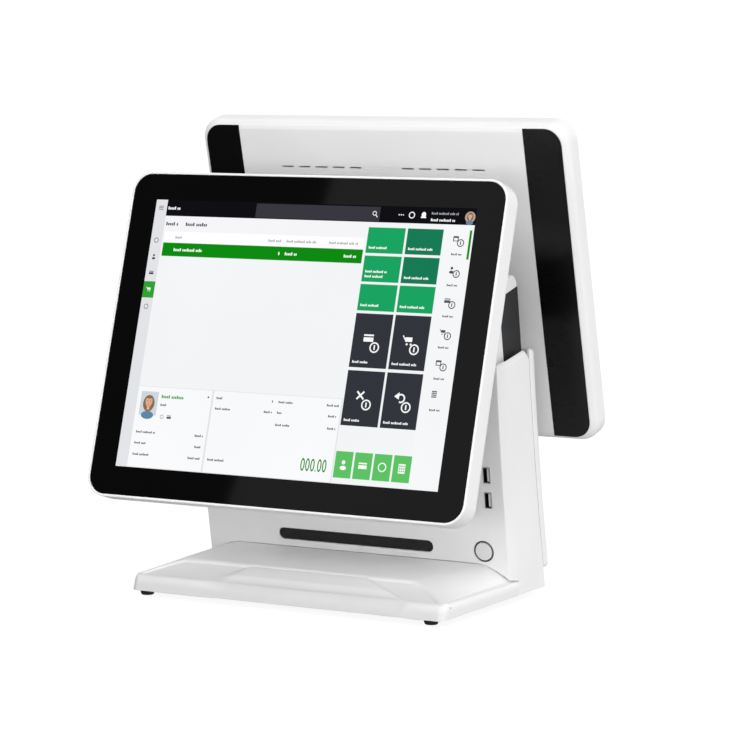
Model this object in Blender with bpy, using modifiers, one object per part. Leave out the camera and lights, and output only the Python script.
"""Two-sided point-of-sale touchscreen terminal: base tray, leaning column, neck and two tilting displays.

Metres, +Z up, the operator's display faces -Y. The origin is on the floor below the middle of the object.
"""

import math

import bmesh
import bpy
from mathutils import Matrix, Vector

# ---------------------------------------------------------------- driving dimensions
GAP = 0.0003  # clearance between touching pieces
REACH = 0.0100  # how far a cutter runs past the wall that it opens
MIDDLE_Y = 0.09185  # the object's middle, measured from the operator's screen centre

# displays
CASE_W, CASE_H, CASE_RADIUS = 0.3565, 0.2785, 0.018
CASE_WALL = 0.0026
CORNER_STEPS = 9
CASE_CHAMFER = 0.0052
RIM_ROUND = 0.0009
GLASS_W, GLASS_H, GLASS_THICK = 0.3519, 0.2741, 0.003
CASE_DROP = 0.0009  # the picture's centre sits this much above the case's centre
STRIP_INNER_X, STRIP_OUTER_X, STRIP_HALF_H = 0.1378, 0.1723, 0.1350
STRIP_RADIUS, STRIP_THICK = 0.0120, 0.0010
VENT_COUNT, VENT_PITCH, VENT_LENGTH, VENT_HEIGHT = 12, 0.0169, 0.0121, 0.0015
VENT_ROW_Z = 0.0976
VENT_BLANKS = (5, 6)
VENT_BLIND_DEPTH = 0.0006

FRONT = {
    "name": "front",
    "centre": (0.0, -MIDDLE_Y, 0.2206),
    "lean": math.radians(16.62),
    "facing": 0.0,
    "depth": 0.0250,
    "lcd_thick": 0.009,
    "pivot": (0.0, 0.0600 - MIDDLE_Y, 0.2240),
}
REAR = {
    "name": "rear",
    "centre": (0.0, 0.1902 - MIDDLE_Y, 0.2650),
    "lean": math.radians(13.85),
    "facing": math.pi,
    "depth": 0.0195,
    "lcd_thick": 0.006,
    "pivot": (0.0, 0.1520 - MIDDLE_Y, 0.2400),
}

# column: its front face is y = FACE_FOOT - FACE_SLOPE z + FACE_BEND z^2
HALF_W = 0.1485
FACE_HALF_W = 0.1458
FACE_FOOT = 0.10915 - MIDDLE_Y
FACE_SLOPE, FACE_BEND = 0.200, 0.26
SIDE_STEP = 0.0140  # how far behind the face the flat side begins
COLUMN_DEPTH, COLUMN_TAPER = 0.0587, 0.021
COLUMN_TOP_FRONT, COLUMN_TOP_REAR = 0.1990, 0.2087
COLUMN_REAR_SHOULDER = 0.2030
SHELL_WALL = 0.003
COLUMN_ROUND = 0.0011
COLUMN_STEPS = 12

COVER_HALF_W, COVER_THICK = 0.1470, 0.0122
COVER_BOTTOM, COVER_TOP = 0.0210, 0.2088
COVER_WALL, COVER_ROUND = 0.0025, 0.0035

# base tray: front wall, slope up to a ridge, then a platform whose sides fall away
TRAY_BOTTOM = 0.0050
TRAY_FRONT_Y = -0.0170 - MIDDLE_Y
TRAY_REAR_Y = 0.1177 - MIDDLE_Y
TRAY_RIM_Y, TRAY_RIM_Z = -0.0130 - MIDDLE_Y, 0.0168
TRAY_RIDGE_Y, TRAY_RIDGE_Z = 0.0260 - MIDDLE_Y, 0.0280
TRAY_KNEE, TRAY_KNEE_RISE = 0.0120, 0.3
TRAY_SEAM_Z, TRAY_CREASE_Z = 0.0310, 0.0172
TRAY_CORNER = 0.0060
RIDGE_BEND_X, RIDGE_BEND_POWER = 0.1020, 1.2
FLANK_START_X, FLANK_END_X = 0.1140, 0.1475
TRAY_STATIONS = (0.1000, 0.1070, 0.1140, 0.1210, 0.1280, 0.1340, 0.1400, 0.1440, 0.1465, 0.1478, HALF_W)
TRAY_ROUND = 0.0026
POCKET_DEPTH = 0.0012
POCKET_EDGE_X = (0.0990, 0.1100, 0.1220, 0.1340, 0.1390)
POCKET_EDGE_Y = (0.0215, 0.0170, 0.0065, -0.0050, -0.0095)
POCKET_INNER_TOP_X = 0.0605
POCKET_INNER_FOOT_X = {"left": 0.0700, "right": 0.1120}
PLATE_THICK = 0.0012
PLATE_HALF_W = 0.1425
PLATE_FRONT_Y, PLATE_REAR_Y = -0.0125 - MIDDLE_Y, 0.1612 - MIDDLE_Y

FOOT_X = {"front_left": -0.1388, "front_right": 0.1324, "rear_left": -0.1180, "rear_right": 0.1180}
FOOT_Y = (-0.0060 - MIDDLE_Y, 0.1480 - MIDDLE_Y)
FOOT_RADIUS = 0.0064

# neck: charcoal core behind, white hood in front and on top
NECK_HALF_W = 0.1395
NECK_WALL = 0.0026
CORE_FRONT = ((0.1078 - MIDDLE_Y, 0.1850), (0.0962 - MIDDLE_Y, 0.2529))
CORE_REAR = ((0.1406 - MIDDLE_Y, 0.1850), (0.1291 - MIDDLE_Y, 0.2612))
HOOD_FRONT = ((0.0850 - MIDDLE_Y, 0.1900), (0.0775 - MIDDLE_Y, 0.2560))
HOOD_TOP = ((0.0850 - MIDDLE_Y, 0.2650), (0.1240 - MIDDLE_Y, 0.2710))
HOOD_BAND = 0.0036

# controls and sockets on the column's face
WINDOW_X, WINDOW_Z, WINDOW_HALF_W, WINDOW_HALF_H = 0.0009, 0.0425, 0.0749, 0.0049
WINDOW_RECESS, WINDOW_THICK = 0.0005, 0.0020
BUTTON_X, BUTTON_Z = 0.1237, 0.0423
RING_OUTER, RING_INNER, RING_DEPTH = 0.0090, 0.0079, 0.0045
RING_PROUD, CAP_PROUD, CAP_ROUND = 0.0002, 0.0004, 0.0006
CAP_RADIUS, CAP_DEPTH, BUTTON_TRAVEL = 0.0076, 0.0052, 0.0012
SWITCH_SIZE = 0.0120
USB_X, USB_Z = 0.1312, (0.1076, 0.0864)
USB_W, USB_H, USB_DEPTH, USB_WALL = 0.0064, 0.0134, 0.0150, 0.0005
USB_PROUD, USB_ROUND = 0.0003, 0.0006
TONGUE_W, TONGUE_H, TONGUE_DEPTH, TONGUE_SETBACK = 0.0018, 0.0108, 0.0070, 0.0007
USB_BOARD_X, USB_BOARD_HALF_H, USB_BOARD_SETBACK = (-0.0090, 0.0070), 0.0210, 0.0012

# hinges
KNUCKLE_HALF_W, KNUCKLE_RADIUS = 0.0220, 0.0090
ARM_THICK, ARM_FOOT_THICK, ARM_FOOT_HALF_H = 0.0100, 0.0040, 0.0160
SHAFT_RADIUS, SHAFT_HEAD, HEAD_THICK, NUT_THICK = 0.0050, 0.0075, 0.0030, 0.0050
HINGE_PLATE_HALF = (0.0500, 0.0360)
HINGE_PLATE_THICK = 0.0025
BRACKET_HALF = (0.0450, 0.0170)
BRACKET_THICK = 0.0030

# steel frame and electronics
BEAM_HALF_W = 0.1200
BEAM_Z = (0.2200, 0.2460)
BEAM_Y = (0.0990 - MIDDLE_Y, 0.1110 - MIDDLE_Y)
UPRIGHT_X = (0.1160, 0.1300)
UPRIGHT_OFFSET, UPRIGHT_DEPTH = 0.0230, 0.0140
BOARD_Z, BOARD_THICK = 0.0080, 0.0016
BOARD_HALF_W = 0.0950
BOARD_Y = (0.0600 - MIDDLE_Y, 0.1580 - MIDDLE_Y)
STANDOFF_INSET, STANDOFF_RADIUS = 0.0060, 0.0030
IO_PANEL_Y = 0.1613 - MIDDLE_Y
IO_PANEL_THICK = 0.0010
PORT_TOP = 0.0203
INLET_X, INLET_HALF_W, INLET_LENGTH, INLET_BORE, INLET_PIN = -0.0600, 0.0050, 0.0140, 0.0032, 0.0010
NETWORK_X, NETWORK_HALF_W, NETWORK_LENGTH = -0.0200, 0.0080, 0.0200
NETWORK_WELL, NETWORK_WALL = 0.0060, 0.0015

PARTS = "pos_touchscreen_terminal"
CUTTERS = "cutters"


# ---------------------------------------------------------------- scene helpers
def clear_scene():
    for obj in list(bpy.data.objects):
        bpy.data.objects.remove(obj)


def new_collection(name):
    made = bpy.data.collections.new(name)
    bpy.context.scene.collection.children.link(made)
    return made


def material(name, colour, roughness, metallic=0.0):
    made = bpy.data.materials.new(name)
    made.use_nodes = True
    shader = made.node_tree.nodes["Principled BSDF"]
    shader.inputs["Base Color"].default_value = (*colour, 1.0)
    shader.inputs["Roughness"].default_value = roughness
    shader.inputs["Metallic"].default_value = metallic
    return made


def finish(name, bm, look, parent=None):
    """The bmesh as one sub-part's object, with normals out and round faces smooth."""
    bmesh.ops.recalc_face_normals(bm, faces=bm.faces)
    mesh = bpy.data.meshes.new(name)
    bm.to_mesh(mesh)
    bm.free()
    mesh.shade_smooth()
    mesh.set_sharp_from_angle(angle=math.radians(30))
    obj = bpy.data.objects.new(name, mesh)
    obj.data.materials.append(look)
    obj.parent = parent
    bpy.data.collections[PARTS].objects.link(obj)
    return obj


def tool(name, bm, parent=None):
    """The bmesh as a hidden object for Booleans."""
    bmesh.ops.recalc_face_normals(bm, faces=bm.faces)
    mesh = bpy.data.meshes.new(name)
    bm.to_mesh(mesh)
    bm.free()
    obj = bpy.data.objects.new(name, mesh)
    obj.parent = parent
    obj.hide_render = True
    obj.display_type = "WIRE"
    bpy.data.collections[CUTTERS].objects.link(obj)
    return obj


def boolean(obj, other, operation):
    step = obj.modifiers.new(operation.lower() + "_" + other.name, "BOOLEAN")
    step.operation = operation
    step.object = other


def cut(obj, other):
    boolean(obj, other, "DIFFERENCE")


def join(obj, other):
    boolean(obj, other, "UNION")


def round_edges(obj, width, segments=2, angle=30):
    step = obj.modifiers.new("round", "BEVEL")
    step.width = width
    step.segments = segments
    step.limit_method = "ANGLE"
    step.angle_limit = math.radians(angle)


def frame_at(name, location, tilt, turn=0.0):
    """An empty whose X is across the object, leaning by tilt about X after a turn about Z."""
    empty = bpy.data.objects.new(name, None)
    place = Matrix.Translation(Vector(location))
    empty.matrix_world = place @ Matrix.Rotation(turn, 4, "Z") @ Matrix.Rotation(tilt, 4, "X")
    bpy.data.collections[PARTS].objects.link(empty)
    return empty


# ---------------------------------------------------------------- shape helpers
def block(low, high):
    """A box between two corners."""
    bm = bmesh.new()
    bmesh.ops.create_cube(bm, size=1.0)
    size = Vector(high) - Vector(low)
    bmesh.ops.scale(bm, vec=size, verts=bm.verts)
    bmesh.ops.translate(bm, vec=(Vector(high) + Vector(low)) / 2, verts=bm.verts)
    return bm


def blocks(corner_pairs):
    """Several boxes in one mesh, for a cutter."""
    bm = bmesh.new()
    for low, high in corner_pairs:
        size = Vector(high) - Vector(low)
        made = bmesh.ops.create_cube(bm, size=1.0)["verts"]
        bmesh.ops.scale(bm, vec=size, verts=made)
        bmesh.ops.translate(bm, vec=(Vector(high) + Vector(low)) / 2, verts=made)
    return bm


def edges_along(bm, axis):
    """The edges parallel to an axis."""
    found = []
    for edge in bm.edges:
        run = edge.verts[1].co - edge.verts[0].co
        if abs(run[axis]) > 0.999 * run.length:
            found.append(edge)
    return found


def edges_at(bm, axis, value):
    """The edges that lie in a plane across an axis."""
    return [e for e in bm.edges if all(abs(v.co[axis] - value) < 1e-6 for v in e.verts)]


def round_slab(low, high, radius, axis=1, segments=6):
    """A box whose edges along one axis are rounded to a radius."""
    bm = block(low, high)
    bmesh.ops.bevel(
        bm, geom=edges_along(bm, axis), offset=radius, segments=segments, profile=0.5, affect="EDGES"
    )
    return bm


def soften(bm, axis, value, width, segments=1):
    """Bevels the rim of a slab's end face."""
    bmesh.ops.bevel(
        bm, geom=edges_at(bm, axis, value), offset=width, segments=segments, profile=0.5, affect="EDGES"
    )
    return bm


def cylinder(radius, start, end, axis, centre=(0.0, 0.0, 0.0), segments=24):
    """A cylinder along an axis from start to end, through a centre point."""
    bm = bmesh.new()
    bmesh.ops.create_cone(
        bm, cap_ends=True, segments=segments, radius1=radius, radius2=radius, depth=end - start
    )
    turn = {0: Matrix.Rotation(math.pi / 2, 4, "Y"), 1: Matrix.Rotation(math.pi / 2, 4, "X"), 2: Matrix()}
    bmesh.ops.transform(bm, matrix=turn[axis], verts=bm.verts)
    middle = Vector(centre)
    middle[axis] = (start + end) / 2
    bmesh.ops.translate(bm, vec=middle, verts=bm.verts)
    return bm


def loft(sections):
    """A closed solid through sections with equal numbers of points."""
    bm = bmesh.new()
    rings = [[bm.verts.new(point) for point in section] for section in sections]
    count = len(rings[0])
    for near, far in zip(rings, rings[1:]):
        for i in range(count):
            j = (i + 1) % count
            bm.faces.new((near[i], near[j], far[j], far[i]))
    bm.faces.new(rings[0])
    bm.faces.new(rings[-1])
    return bm


def prism(outline, x_low, x_high):
    """A (y, z) outline extruded across X."""
    return loft([[(x, y, z) for y, z in outline] for x in (x_low, x_high)])


def spread(start, end, steps):
    return [start + (end - start) * i / steps for i in range(steps + 1)]


def along(line, z):
    """The y of a straight (y, z) line at height z."""
    (y0, z0), (y1, z1) = line
    return y0 + (y1 - y0) * (z - z0) / (z1 - z0)


def face_y(z):
    return FACE_FOOT - FACE_SLOPE * z + FACE_BEND * z * z


def face_tilt(z):
    return math.atan(FACE_SLOPE - 2 * FACE_BEND * z)


def column_rear_y(z):
    return face_y(z) + COLUMN_DEPTH - COLUMN_TAPER * z


# ---------------------------------------------------------------- base
def tray_section(x, grow=0.0, low_z=TRAY_BOTTOM, rear_y=TRAY_REAR_Y):
    """The tray's (y, z) outline at one x: its ridge bends forward and down towards each side."""
    reach = abs(x)
    round_in = max(0.0, reach - (HALF_W - TRAY_CORNER))
    corner = TRAY_CORNER - math.sqrt(max(0.0, TRAY_CORNER**2 - round_in**2)) - grow
    bend = max(0.0, (reach - RIDGE_BEND_X) / (HALF_W - RIDGE_BEND_X)) ** RIDGE_BEND_POWER
    ridge_y = TRAY_RIDGE_Y + (TRAY_RIM_Y - TRAY_RIDGE_Y) * bend
    ridge_y = max(ridge_y, TRAY_RIM_Y + corner + 0.0006)
    ridge_z = TRAY_RIDGE_Z + (TRAY_RIM_Z - TRAY_RIDGE_Z) * bend
    fall = min(1.0, max(0.0, (reach - FLANK_START_X) / (FLANK_END_X - FLANK_START_X))) ** 2
    seam_z = TRAY_SEAM_Z + (TRAY_CREASE_Z - TRAY_SEAM_Z) * fall
    knee_z = ridge_z + (seam_z - ridge_z) * TRAY_KNEE_RISE
    return (
        (TRAY_FRONT_Y + corner, low_z),
        (TRAY_RIM_Y + corner, TRAY_RIM_Z + grow),
        (ridge_y, ridge_z + grow),
        (ridge_y + TRAY_KNEE, knee_z + grow),
        (rear_y, seam_z + grow),
        (rear_y, low_z),
    )


def tray_solid(side, grow=0.0, low_z=TRAY_BOTTOM, rear_y=TRAY_REAR_Y):
    """The tray's solid, widened by side and raised by grow; negative values give its hollow."""
    stations = [-x for x in reversed(TRAY_STATIONS)] + list(TRAY_STATIONS)
    widen = 1 + side / HALF_W
    return loft([[(x * widen, y, z) for y, z in tray_section(x, grow, low_z, rear_y)] for x in stations])


def slope_z(y):
    """Height of the slope between the tray's front rim and its ridge."""
    return TRAY_RIM_Z + (y - TRAY_RIM_Y) * (TRAY_RIDGE_Z - TRAY_RIM_Z) / (TRAY_RIDGE_Y - TRAY_RIM_Y)


def base_shell(look):
    bm = tray_solid(0.0)
    rim = []
    for edge in bm.edges:
        ends = [vert.co for vert in edge.verts]
        low = min(end.z for end in ends) < TRAY_BOTTOM + GAP
        rear = min(end.y for end in ends) > TRAY_REAR_Y - GAP
        if not low and not rear and edge.calc_face_angle() > math.radians(25):
            rim.append(edge)
    bmesh.ops.bevel(
        bm, geom=rim, offset=TRAY_ROUND, segments=3, profile=0.5, affect="EDGES", clamp_overlap=True
    )
    shell = finish("base_shell", bm, look)
    for name, side in (("left", -1), ("right", 1)):
        outline = [(side * POCKET_INNER_TOP_X, POCKET_EDGE_Y[0] - MIDDLE_Y)]
        outline += [(side * x, y - MIDDLE_Y) for x, y in zip(POCKET_EDGE_X, POCKET_EDGE_Y)]
        outline += [(side * POCKET_INNER_FOOT_X[name], POCKET_EDGE_Y[-1] - MIDDLE_Y)]
        floor = [(x, y, slope_z(y) - POCKET_DEPTH) for x, y in outline]
        lid = [(x, y, slope_z(y) + REACH) for x, y in outline]
        cut(shell, tool("pocket_" + name, loft([floor, lid])))
    hollow = tray_solid(-SHELL_WALL, -SHELL_WALL, TRAY_BOTTOM - 0.001, TRAY_REAR_Y + REACH)
    cut(shell, tool("tray_hollow", hollow))


def base_plate(look):
    low = (-PLATE_HALF_W, PLATE_FRONT_Y, TRAY_BOTTOM + GAP)
    high = (PLATE_HALF_W, PLATE_REAR_Y, TRAY_BOTTOM + GAP + PLATE_THICK)
    plate = finish("base_plate", round_slab(low, high, 0.004, 2, 3), look)
    for x in (-1, 1):
        for y in (BOARD_Y[0] + STANDOFF_INSET, BOARD_Y[1] - STANDOFF_INSET):
            centre = (x * (BOARD_HALF_W - STANDOFF_INSET), y, 0.0)
            post = cylinder(STANDOFF_RADIUS, TRAY_BOTTOM + 2 * GAP, BOARD_Z - GAP, 2, centre, 10)
            join(plate, tool("standoff", post))


def rubber_feet(look):
    """Four tapered feet under the base plate."""
    for name, x in FOOT_X.items():
        centre = (x, FOOT_Y[name.startswith("rear")], 0.0)
        bm = cylinder(FOOT_RADIUS, 0.0, TRAY_BOTTOM, 2, centre, 20)
        soften(bm, 2, 0.0, 0.0012, 2)
        finish("foot_" + name, bm, look)


# ---------------------------------------------------------------- column
def column_outline(front_step, top_drop, inset=0.0, z_low=TRAY_BOTTOM, z_high=0.0):
    """The column's (y, z) side outline; inset shrinks it for the hollow, z_high replaces its top."""
    top_front = z_high or COLUMN_TOP_FRONT - top_drop
    top_rear = z_high or COLUMN_TOP_REAR - top_drop
    shoulder = z_high or COLUMN_REAR_SHOULDER - top_drop
    points = [(face_y(z) + front_step + inset, z) for z in spread(z_low, top_front, COLUMN_STEPS)]
    rear_y = column_rear_y(shoulder) - inset
    points.append((rear_y - 0.006, top_rear))
    points += [(column_rear_y(z) - inset, z) for z in spread(shoulder, z_low, COLUMN_STEPS)]
    return points


def column_solid(wall, z_low, z_high=0.0, rear_grow=0.0):
    """The column's outer solid, or its hollow when wall is not zero."""
    stations = (
        (-HALF_W + wall, SIDE_STEP, 0.0025),
        (-FACE_HALF_W + wall, 0.0, 0.0),
        (FACE_HALF_W - wall, 0.0, 0.0),
        (HALF_W - wall, SIDE_STEP, 0.0025),
    )
    sections = []
    for x, step, drop in stations:
        outline = column_outline(step, drop, wall, z_low, z_high)
        middle = len(outline) // 2
        rear = [(y + rear_grow, z) for y, z in outline[middle:]]
        sections.append([(x, y, z) for y, z in outline[:middle] + rear])
    return loft(sections)


def stand_shell(look):
    """Face and sides of the column in one moulding, open behind, below and on top."""
    shell = finish("stand_shell", column_solid(0.0, TRAY_BOTTOM), look)
    round_edges(shell, COLUMN_ROUND, 2, 30)
    cut(shell, tool("column_hollow", column_solid(SHELL_WALL, -REACH, 0.24, 0.02)))
    cut(shell, tool("tray_clearance", tray_solid(2 * GAP, GAP, -REACH, TRAY_REAR_Y + GAP)))
    return shell


def cover_solid(half_w, near, far, low, high):
    """A slab that follows the column's back between two depths."""
    heights = spread(low, high, COLUMN_STEPS)
    front = [(column_rear_y(z) + near, z) for z in heights]
    back = [(column_rear_y(z) + far, z) for z in reversed(heights)]
    return prism(front + back, -half_w, half_w)


def rear_cover(look):
    """Raised cover on the column's back, open at the front and on top."""
    cover = finish("rear_cover", cover_solid(COVER_HALF_W, GAP, COVER_THICK, COVER_BOTTOM, COVER_TOP), look)
    round_edges(cover, COVER_ROUND, 3, 40)
    far = COVER_THICK - COVER_WALL
    low, high = COVER_BOTTOM + COVER_WALL, COVER_TOP + REACH
    hollow = cover_solid(COVER_HALF_W - COVER_WALL, -COVER_WALL, far, low, high)
    cut(cover, tool("cover_hollow", hollow))


def slot_window(shell, look):
    """Dark window with round ends in the lower face."""
    place = frame_at("window_frame", (WINDOW_X, face_y(WINDOW_Z), WINDOW_Z), face_tilt(WINDOW_Z))
    hole_low = (-WINDOW_HALF_W - GAP, -REACH, -WINDOW_HALF_H - GAP)
    hole_high = (WINDOW_HALF_W + GAP, REACH, WINDOW_HALF_H + GAP)
    hole = round_slab(hole_low, hole_high, WINDOW_HALF_H, 1, 6)
    cut(shell, tool("window_hole", hole, place))
    low = (-WINDOW_HALF_W, WINDOW_RECESS, -WINDOW_HALF_H)
    high = (WINDOW_HALF_W, WINDOW_RECESS + WINDOW_THICK, WINDOW_HALF_H)
    finish("slot_window", round_slab(low, high, WINDOW_HALF_H - GAP, 1, 6), look, place)


def power_button(shell, ring_look, cap_look, switch_look):
    place = frame_at("power_button_axis", (BUTTON_X, face_y(BUTTON_Z), BUTTON_Z), face_tilt(BUTTON_Z))
    cut(shell, tool("button_hole", cylinder(RING_OUTER + GAP, -REACH, REACH, 1, segments=32), place))
    ring = cylinder(RING_OUTER, -RING_PROUD, RING_DEPTH, 1, segments=32)
    ring = finish("power_button_ring", ring, ring_look, place)
    cut(ring, tool("ring_hole", cylinder(RING_INNER, -REACH, REACH, 1, segments=32), place))
    cap = cylinder(CAP_RADIUS, -CAP_PROUD, CAP_DEPTH, 1, segments=32)
    soften(cap, 1, -CAP_PROUD, CAP_ROUND, 2)
    finish("power_button_cap", cap, cap_look, place)
    back = CAP_DEPTH + BUTTON_TRAVEL + GAP
    half = SWITCH_SIZE / 2
    switch = round_slab((-half, back, -half), (half, back + SWITCH_SIZE / 2, half), 0.001, 1, 2)
    finish("power_switch", switch, switch_look, place)


def usb_ports(shell, shell_look, tongue_look, board_look):
    """Two upright sockets in the face, with the small board that carries them."""
    for name, z in zip(("upper", "lower"), USB_Z):
        place = frame_at("usb_frame_" + name, (USB_X, face_y(z), z), face_tilt(z))
        half = Vector((USB_W / 2, 0.0, USB_H / 2))
        grown = half + Vector((GAP, 0.0, GAP))
        hole = block((-grown.x, -REACH, -grown.z), (grown.x, REACH, grown.z))
        cut(shell, tool("usb_hole_" + name, hole, place))
        body = round_slab((-half.x, -USB_PROUD, -half.z), (half.x, USB_DEPTH, half.z), USB_ROUND, 1, 2)
        can = finish("usb_shell_" + name, body, shell_look, place)
        inner = half - Vector((USB_WALL, 0.0, USB_WALL))
        well = block((-inner.x, -REACH, -inner.z), (inner.x, USB_DEPTH - USB_WALL, inner.z))
        cut(can, tool("usb_well_" + name, well, place))
        tongue_x = inner.x - TONGUE_SETBACK - TONGUE_W
        tongue_y = USB_DEPTH - USB_WALL - GAP
        low = (tongue_x, tongue_y - TONGUE_DEPTH, -TONGUE_H / 2)
        high = (tongue_x + TONGUE_W, tongue_y, TONGUE_H / 2)
        finish("usb_tongue_" + name, block(low, high), tongue_look, place)
    middle = sum(USB_Z) / 2
    place = frame_at("usb_board_frame", (USB_X, face_y(middle), middle), face_tilt(middle))
    low = (USB_BOARD_X[0], USB_DEPTH + USB_BOARD_SETBACK, -USB_BOARD_HALF_H)
    high = (USB_BOARD_X[1], low[1] + BOARD_THICK, USB_BOARD_HALF_H)
    finish("usb_board", block(low, high), board_look, place)


# ---------------------------------------------------------------- neck
def neck_core(look):
    """Charcoal back and sides of the neck."""
    outline = (CORE_FRONT[0], CORE_REAR[0], CORE_REAR[1], CORE_FRONT[1])
    core = finish("neck_core", prism(outline, -NECK_HALF_W, NECK_HALF_W), look)
    wall = NECK_WALL
    low_z, high_z = CORE_REAR[0][1] - REACH, CORE_REAR[1][1] + REACH
    front = along(CORE_FRONT, low_z) - 0.03
    hollow = (
        (front, low_z),
        (along(CORE_REAR, low_z) - wall, low_z),
        (along(CORE_REAR, high_z) - wall, high_z),
        (front, high_z),
    )
    cut(core, tool("core_hollow", prism(hollow, -NECK_HALF_W + wall, NECK_HALF_W - wall)))
    return core


def neck_hood(look):
    """White front wall and cap over the core."""
    z_low = HOOD_FRONT[0][1]
    rear_y = CORE_REAR[1][0] + GAP
    underside = CORE_REAR[1][1] + GAP
    outline = (
        HOOD_FRONT[0],
        (along(CORE_FRONT, z_low), z_low),
        (rear_y, underside),
        (rear_y, underside + HOOD_BAND),
        HOOD_TOP[1],
        HOOD_TOP[0],
        HOOD_FRONT[1],
    )
    hood = finish("neck_hood", prism(outline, -NECK_HALF_W, NECK_HALF_W), look)
    round_edges(hood, 0.0025, 2, 20)
    low = z_low - REACH
    rise = (CORE_REAR[1][1] - CORE_FRONT[1][1]) / (CORE_REAR[1][0] - CORE_FRONT[1][0])
    clearance = (
        (along(CORE_FRONT, low) - GAP, low),
        (CORE_REAR[1][0] + 0.02, low),
        (CORE_REAR[1][0] + 0.02, underside + 0.02 * rise),
        (CORE_FRONT[1][0] - GAP, CORE_FRONT[1][1] + GAP - GAP * rise),
    )
    cut(hood, tool("core_clearance", prism(clearance, -NECK_HALF_W - REACH, NECK_HALF_W + REACH)))
    wall = NECK_WALL
    high = HOOD_FRONT[1][1] - 2 * wall
    hollow = (
        (along(HOOD_FRONT, low) + wall, low),
        (along(CORE_FRONT, low) + REACH, low),
        (along(CORE_FRONT, high) + REACH, high + wall),
        (along(HOOD_FRONT, high) + wall, high),
    )
    cut(hood, tool("hood_hollow", prism(hollow, -NECK_HALF_W + wall, NECK_HALF_W - wall)))
    return hood


# ---------------------------------------------------------------- hinges
def hinge_bracket(display, wall_piece, wall_line, outward, reach_in, look):
    """Cast bracket through a window in the neck: boss, plate and the knuckle that holds the shaft."""
    name = display["name"]
    pivot = Vector(display["pivot"])
    tilt = math.atan((wall_line[0][0] - wall_line[1][0]) / (wall_line[1][1] - wall_line[0][1]))
    place = frame_at(name + "_bracket_frame", (0.0, along(wall_line, pivot.z), pivot.z), tilt)
    local = place.matrix_world.inverted() @ pivot
    half_x, half_z = BRACKET_HALF
    boss_half = (half_x - 0.010, half_z - 0.006)
    reach_in -= boss_half[1] * abs(math.tan(tilt))

    def span(a, b):
        return tuple(sorted((outward * a, outward * b)))

    near, far = span(GAP, GAP + BRACKET_THICK)
    plate = round_slab((-half_x, near, -half_z), (half_x, far, half_z), 0.005, 1, 4)
    bracket = finish(name + "_hinge_bracket", plate, look, place)
    near, far = span(-reach_in, GAP + BRACKET_THICK / 2)
    boss = block((-boss_half[0], near, -boss_half[1]), (boss_half[0], far, boss_half[1]))
    join(bracket, tool(name + "_boss", boss, place))
    near, far = span(GAP + BRACKET_THICK / 2, abs(local.y))
    web = block(
        (-KNUCKLE_HALF_W, near, local.z - KNUCKLE_RADIUS), (KNUCKLE_HALF_W, far, local.z + KNUCKLE_RADIUS)
    )
    join(bracket, tool(name + "_web", web, place))
    eye = cylinder(KNUCKLE_RADIUS, -KNUCKLE_HALF_W, KNUCKLE_HALF_W, 0, local, 24)
    join(bracket, tool(name + "_eye", eye, place))
    bore = cylinder(SHAFT_RADIUS + GAP, -KNUCKLE_HALF_W - REACH, KNUCKLE_HALF_W + REACH, 0, local, 24)
    cut(bracket, tool(name + "_bore", bore, place))
    near, far = span(-0.02, REACH)
    grown = (boss_half[0] + 2 * GAP, boss_half[1] + 2 * GAP)
    window = block((-grown[0], near, -grown[1]), (grown[0], far, grown[1]))
    cut(wall_piece, tool(name + "_neck_window", window, place))


def hinge_shaft(display, look):
    """Steel shaft with a head on one end and a round nut on the other."""
    name = display["name"]
    pivot = display["pivot"]
    end = KNUCKLE_HALF_W + 2 * GAP + ARM_THICK + GAP
    rod = cylinder(SHAFT_RADIUS, -end - 0.001, end + NUT_THICK + 0.001, 0, pivot, 24)
    shaft = finish(name + "_hinge_shaft", rod, look)
    head = cylinder(SHAFT_HEAD, -end - HEAD_THICK, -end, 0, pivot, 24)
    join(shaft, tool(name + "_shaft_head", head))
    nut = finish(name + "_hinge_nut", cylinder(SHAFT_HEAD, end, end + NUT_THICK, 0, pivot, 6), look)
    cut(nut, tool(name + "_nut_hole", cylinder(SHAFT_RADIUS + GAP, end - REACH, end + 0.02, 0, pivot, 24)))


def hinge_leaves(display, place, look):
    """Plate on the display's back and the two arms that turn on the shaft."""
    name = display["name"]
    pivot = place.matrix_world.inverted() @ Vector(display["pivot"])
    back = display["depth"] + GAP
    half_x, half_z = HINGE_PLATE_HALF
    low = (-half_x, back, pivot.z - half_z)
    high = (half_x, back + HINGE_PLATE_THICK, pivot.z + half_z)
    finish(name + "_hinge_plate", round_slab(low, high, 0.006, 1, 4), look, place)
    near = back + HINGE_PLATE_THICK + GAP
    for side_name, side in (("left", -1), ("right", 1)):
        inner = side * (KNUCKLE_HALF_W + GAP)
        outer = side * (KNUCKLE_HALF_W + GAP + ARM_THICK)
        x_low, x_high = min(inner, outer), max(inner, outer)
        low = (x_low, near, pivot.z - ARM_FOOT_HALF_H)
        foot = block(low, (x_high, near + ARM_FOOT_THICK, pivot.z + ARM_FOOT_HALF_H))
        arm = finish(name + "_hinge_arm_" + side_name, foot, look, place)
        label = name + "_" + side_name
        low = (x_low, near + ARM_FOOT_THICK / 2, pivot.z - KNUCKLE_RADIUS)
        web = block(low, (x_high, pivot.y, pivot.z + KNUCKLE_RADIUS))
        join(arm, tool(label + "_arm_web", web, place))
        join(arm, tool(label + "_arm_eye", cylinder(KNUCKLE_RADIUS, x_low, x_high, 0, pivot, 24), place))
        bore = cylinder(SHAFT_RADIUS + GAP, x_low - REACH, x_high + REACH, 0, pivot, 24)
        cut(arm, tool(label + "_arm_bore", bore, place))


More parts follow.
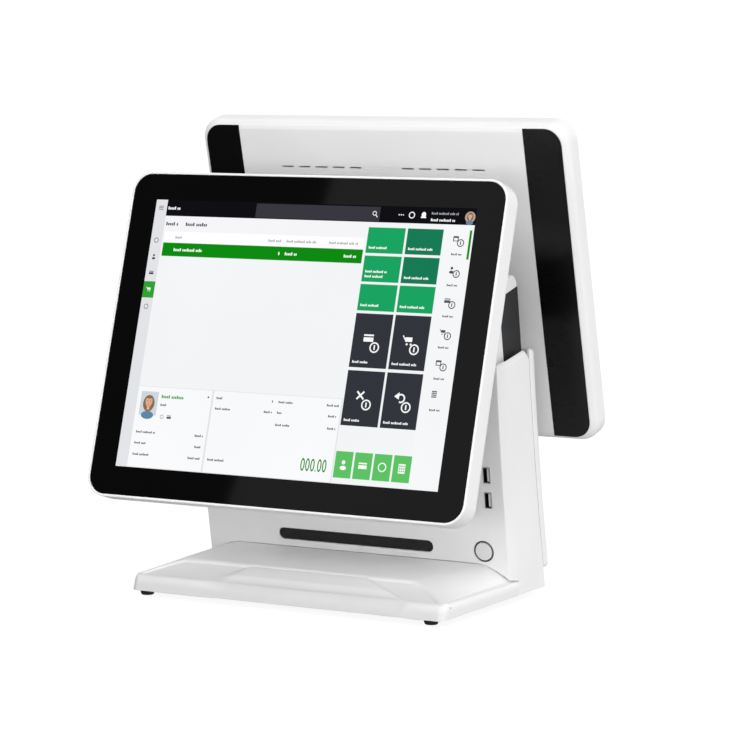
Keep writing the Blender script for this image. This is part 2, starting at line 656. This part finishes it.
# ---------------------------------------------------------------- displays
def case_slab(inset, y_front, y_back):
    """The case's outline between two depths, with the chamfer that runs round its back."""
    half_w, half_h = CASE_W / 2 - inset, CASE_H / 2 - inset
    low = (-half_w, y_front, -half_h - CASE_DROP)
    high = (half_w, y_back, half_h - CASE_DROP)
    bm = round_slab(low, high, CASE_RADIUS - inset, 1, CORNER_STEPS)
    return soften(bm, 1, y_back, CASE_CHAMFER)


def strip_slab(side, grow, y_front, y_back):
    """The outline of one back strip: square inside, rounded at its two outer corners."""
    outer = STRIP_OUTER_X + grow
    half_h = STRIP_HALF_H + grow
    low = (-outer, y_front, -half_h - CASE_DROP)
    high = (outer, y_back, half_h - CASE_DROP)
    bm = round_slab(low, high, STRIP_RADIUS, 1, CORNER_STEPS)
    bmesh.ops.bisect_plane(
        bm,
        geom=list(bm.verts) + list(bm.edges) + list(bm.faces),
        plane_co=(side * (STRIP_INNER_X - grow), 0.0, 0.0),
        plane_no=(-side, 0.0, 0.0),
        clear_outer=True,
    )
    bmesh.ops.holes_fill(bm, edges=[edge for edge in bm.edges if edge.is_boundary])
    return bm


def vent_cutter(depth):
    """The row of louvre slots; the two in the middle are blind."""
    slots = []
    start = -(VENT_PITCH * (VENT_COUNT - 1) + VENT_LENGTH) / 2
    for i in range(VENT_COUNT):
        x = start + i * VENT_PITCH
        y = depth - VENT_BLIND_DEPTH if i in VENT_BLANKS else depth - 2 * CASE_WALL
        low = (x, y, VENT_ROW_Z - VENT_HEIGHT / 2)
        slots.append((low, (x + VENT_LENGTH, depth + REACH, low[2] + VENT_HEIGHT)))
    return blocks(slots)


def display_case(display, place, look):
    name, depth = display["name"], display["depth"]
    bm = case_slab(0.0, 0.0, depth)
    soften(bm, 1, 0.0, RIM_ROUND, 2)
    case = finish(name + "_case", bm, look, place)
    cut(case, tool(name + "_case_hollow", case_slab(CASE_WALL, -REACH, depth - CASE_WALL), place))
    seat_half = (GLASS_W / 2 + GAP, GLASS_H / 2 + GAP)
    seat = round_slab(
        (-seat_half[0], -REACH, -seat_half[1] - CASE_DROP),
        (seat_half[0], GLASS_THICK + 0.001, seat_half[1] - CASE_DROP),
        CASE_RADIUS - (CASE_W - GLASS_W) / 2,
        1,
        CORNER_STEPS,
    )
    cut(case, tool(name + "_glass_seat", seat, place))
    for side_name, side in (("left", -1), ("right", 1)):
        pocket = strip_slab(side, GAP, depth - STRIP_THICK + 0.0002, depth + REACH)
        cut(case, tool(name + "_strip_pocket_" + side_name, pocket, place))
    cut(case, tool(name + "_vents", vent_cutter(depth), place))


def display_strips(display, place, look):
    name, depth = display["name"], display["depth"]
    for side_name, side in (("left", -1), ("right", 1)):
        back = depth + GAP / 2
        strip = strip_slab(side, 0.0, back - STRIP_THICK + 2 * GAP, back)
        finish(name + "_back_strip_" + side_name, strip, look, place)


def display_glass(display, place, look):
    name = display["name"]
    low = (-GLASS_W / 2, 0.0002, -GLASS_H / 2 - CASE_DROP)
    high = (GLASS_W / 2, GLASS_THICK, GLASS_H / 2 - CASE_DROP)
    radius = CASE_RADIUS - (CASE_W - GLASS_W) / 2
    finish(name + "_touch_glass", round_slab(low, high, radius, 1, CORNER_STEPS), look, place)


def display_inside(display, place, lcd_look, steel_look, board_look):
    """Picture panel, its steel tray and the driver board behind it."""
    name = display["name"]
    front = GLASS_THICK + GAP
    lcd_back = front + display["lcd_thick"]
    lcd = round_slab((-0.1630, front, -0.1265), (0.1630, lcd_back, 0.1265), 0.002, 1, 2)
    finish(name + "_lcd_panel", lcd, lcd_look, place)
    tray_back = lcd_back + GAP + 0.001
    tray = round_slab((-0.1660, lcd_back + GAP, -0.1290), (0.1660, tray_back, 0.1270), 0.003, 1, 2)
    finish(name + "_lcd_tray", tray, steel_look, place)
    board = block((-0.060, tray_back + GAP, -0.095), (0.060, tray_back + GAP + BOARD_THICK, -0.040))
    finish(name + "_driver_board", board, board_look, place)


def display(spec, looks):
    place = frame_at(spec["name"] + "_display_axis", spec["centre"], -spec["lean"], spec["facing"])
    display_case(spec, place, looks["white"])
    display_strips(spec, place, looks["gloss_black"])
    display_glass(spec, place, looks["glass"])
    display_inside(spec, place, looks["lcd"], looks["steel"], looks["board"])
    hinge_leaves(spec, place, looks["cast"])


# ---------------------------------------------------------------- inside the base and the column
def support_frame(look):
    """Two leaning uprights on the base plate, joined by the beam that carries both hinges."""
    foot_z = TRAY_BOTTOM + PLATE_THICK + 2 * GAP
    heights = spread(foot_z, BEAM_Z[1], 4)

    def upright(side):
        sections = []
        for z in heights:
            near = face_y(z) + UPRIGHT_OFFSET
            far = near + UPRIGHT_DEPTH
            inner, outer = side * UPRIGHT_X[0], side * UPRIGHT_X[1]
            sections.append([(inner, near, z), (outer, near, z), (outer, far, z), (inner, far, z)])
        return loft(sections)

    beam = block((-BEAM_HALF_W, BEAM_Y[0], BEAM_Z[0]), (BEAM_HALF_W, BEAM_Y[1], BEAM_Z[1]))
    frame = finish("support_frame", beam, look)
    for name, side in (("left", -1), ("right", 1)):
        join(frame, tool("upright_" + name, upright(side)))


def mainboard(look):
    low = (-BOARD_HALF_W, BOARD_Y[0], BOARD_Z)
    high = (BOARD_HALF_W, BOARD_Y[1], BOARD_Z + BOARD_THICK)
    finish("mainboard", block(low, high), look)


def heat_sink(look):
    """Finned block on the processor."""
    base_z = BOARD_Z + BOARD_THICK + GAP
    fins, pitch, fin = 8, 0.0070, 0.0020
    left = -(fins * pitch - (pitch - fin)) / 2
    top, root = base_z + 0.0120, base_z + 0.0030
    outline = [(left, base_z)]
    for i in range(fins):
        x = left + i * pitch
        outline += [(x, root), (x, top), (x + fin, top), (x + fin, root)]
    outline[1:2] = []
    outline[-1:] = [(left + (fins - 1) * pitch + fin, base_z)]
    y_range = (BOARD_Y[0] + 0.012, BOARD_Y[0] + 0.052)
    finish("heat_sink", loft([[(x, y, z) for x, z in outline] for y in y_range]), look)


def memory_module(look):
    base_z = BOARD_Z + BOARD_THICK + GAP
    low = (0.0400, BOARD_Y[0] + 0.015, base_z)
    high = (0.0860, BOARD_Y[0] + 0.050, base_z + 0.004)
    finish("memory_module", block(low, high), look)


def ssd_drive(look):
    z = 0.110
    place = frame_at("ssd_frame", (0.0, face_y(z) + 0.010, z), face_tilt(z))
    finish("ssd_drive", round_slab((-0.050, 0.0, -0.035), (0.050, 0.007, 0.035), 0.002, 1, 2), look, place)


def speaker(look):
    z = 0.100
    place = frame_at("speaker_frame", (-0.085, face_y(z) + 0.006, z), face_tilt(z))
    body = finish("speaker", cylinder(0.020, 0.0, 0.004, 1, segments=24), look, place)
    join(body, tool("speaker_magnet", cylinder(0.011, 0.003, 0.012, 1, segments=20), place))


def rear_ports(port_look, panel_look):
    """Low-voltage inlet and network socket on the board's rear edge, and the panel round them."""
    low_z = BOARD_Z + BOARD_THICK + GAP
    back = IO_PANEL_Y + IO_PANEL_THICK + GAP
    panel_low = (-PLATE_HALF_W, IO_PANEL_Y, TRAY_BOTTOM + PLATE_THICK + 2 * GAP)
    panel_high = (PLATE_HALF_W, IO_PANEL_Y + IO_PANEL_THICK, COVER_BOTTOM - GAP)
    panel = finish("rear_io_panel", block(panel_low, panel_high), panel_look)
    sockets = {}
    for name, x, half_w, length in (
        ("power_inlet", INLET_X, INLET_HALF_W, INLET_LENGTH),
        ("network_port", NETWORK_X, NETWORK_HALF_W, NETWORK_LENGTH),
    ):
        low = Vector((x - half_w, back - length, low_z))
        high = Vector((x + half_w, back, PORT_TOP))
        sockets[name] = finish(name, block(low, high), port_look)
        grow = Vector((GAP, REACH, GAP))
        cut(panel, tool("panel_hole_" + name, block(low - grow, high + grow)))
    centre = (INLET_X, 0.0, (low_z + PORT_TOP) / 2)
    bore = cylinder(INLET_BORE, back - INLET_LENGTH + 0.004, back + REACH, 1, centre, 20)
    cut(sockets["power_inlet"], tool("inlet_bore", bore))
    pin = cylinder(INLET_PIN, back - INLET_LENGTH + 0.002, back - 0.002, 1, centre, 10)
    join(sockets["power_inlet"], tool("inlet_pin", pin))
    low = (NETWORK_X - NETWORK_WELL, back - NETWORK_LENGTH + 0.007, low_z + NETWORK_WALL)
    high = (NETWORK_X + NETWORK_WELL, back + REACH, PORT_TOP - NETWORK_WALL)
    cut(sockets["network_port"], tool("network_well", block(low, high)))


# ---------------------------------------------------------------- assembly
def make_looks():
    return {
        "white": material("white_plastic", (0.80, 0.80, 0.80), 0.38),
        "charcoal": material("charcoal_plastic", (0.03, 0.03, 0.032), 0.45),
        "gloss_black": material("gloss_black_plastic", (0.004, 0.004, 0.005), 0.08),
        "glass": material("touch_glass", (0.006, 0.006, 0.007), 0.05),
        "window": material("window_plastic", (0.012, 0.012, 0.013), 0.15),
        "ring": material("ring_plastic", (0.05, 0.05, 0.055), 0.3),
        "cap": material("button_plastic", (0.75, 0.75, 0.76), 0.3),
        "rubber": material("foot_rubber", (0.02, 0.02, 0.02), 0.7),
        "steel": material("zinc_steel", (0.55, 0.55, 0.56), 0.35, 1.0),
        "nickel": material("nickel_plate", (0.70, 0.69, 0.66), 0.25, 1.0),
        "cast": material("cast_hinge", (0.06, 0.06, 0.065), 0.4, 0.6),
        "board": material("circuit_board", (0.02, 0.12, 0.05), 0.45),
        "lcd": material("lcd_body", (0.10, 0.10, 0.11), 0.4),
        "tongue": material("socket_tongue", (0.80, 0.80, 0.80), 0.4),
        "port": material("port_plastic", (0.02, 0.02, 0.022), 0.4),
        "sink": material("anodised_fins", (0.10, 0.10, 0.11), 0.4, 1.0),
    }


def main():
    clear_scene()
    new_collection(PARTS)
    new_collection(CUTTERS).hide_render = True
    looks = make_looks()
    base_shell(looks["white"])
    base_plate(looks["steel"])
    rubber_feet(looks["rubber"])
    shell = stand_shell(looks["white"])
    slot_window(shell, looks["window"])
    power_button(shell, looks["ring"], looks["cap"], looks["port"])
    usb_ports(shell, looks["nickel"], looks["tongue"], looks["board"])
    rear_cover(looks["white"])
    core = neck_core(looks["charcoal"])
    hood = neck_hood(looks["white"])
    support_frame(looks["steel"])
    hood_reach = BEAM_Y[0] - GAP - along(HOOD_FRONT, FRONT["pivot"][2])
    hinge_bracket(FRONT, hood, HOOD_FRONT, -1, hood_reach, looks["cast"])
    core_reach = along(CORE_REAR, REAR["pivot"][2]) - BEAM_Y[1] - GAP
    hinge_bracket(REAR, core, CORE_REAR, 1, core_reach, looks["cast"])
    mainboard(looks["board"])
    heat_sink(looks["sink"])
    memory_module(looks["board"])
    ssd_drive(looks["steel"])
    speaker(looks["port"])
    rear_ports(looks["port"], looks["steel"])
    for spec in (FRONT, REAR):
        hinge_shaft(spec, looks["steel"])
        display(spec, looks)


main()
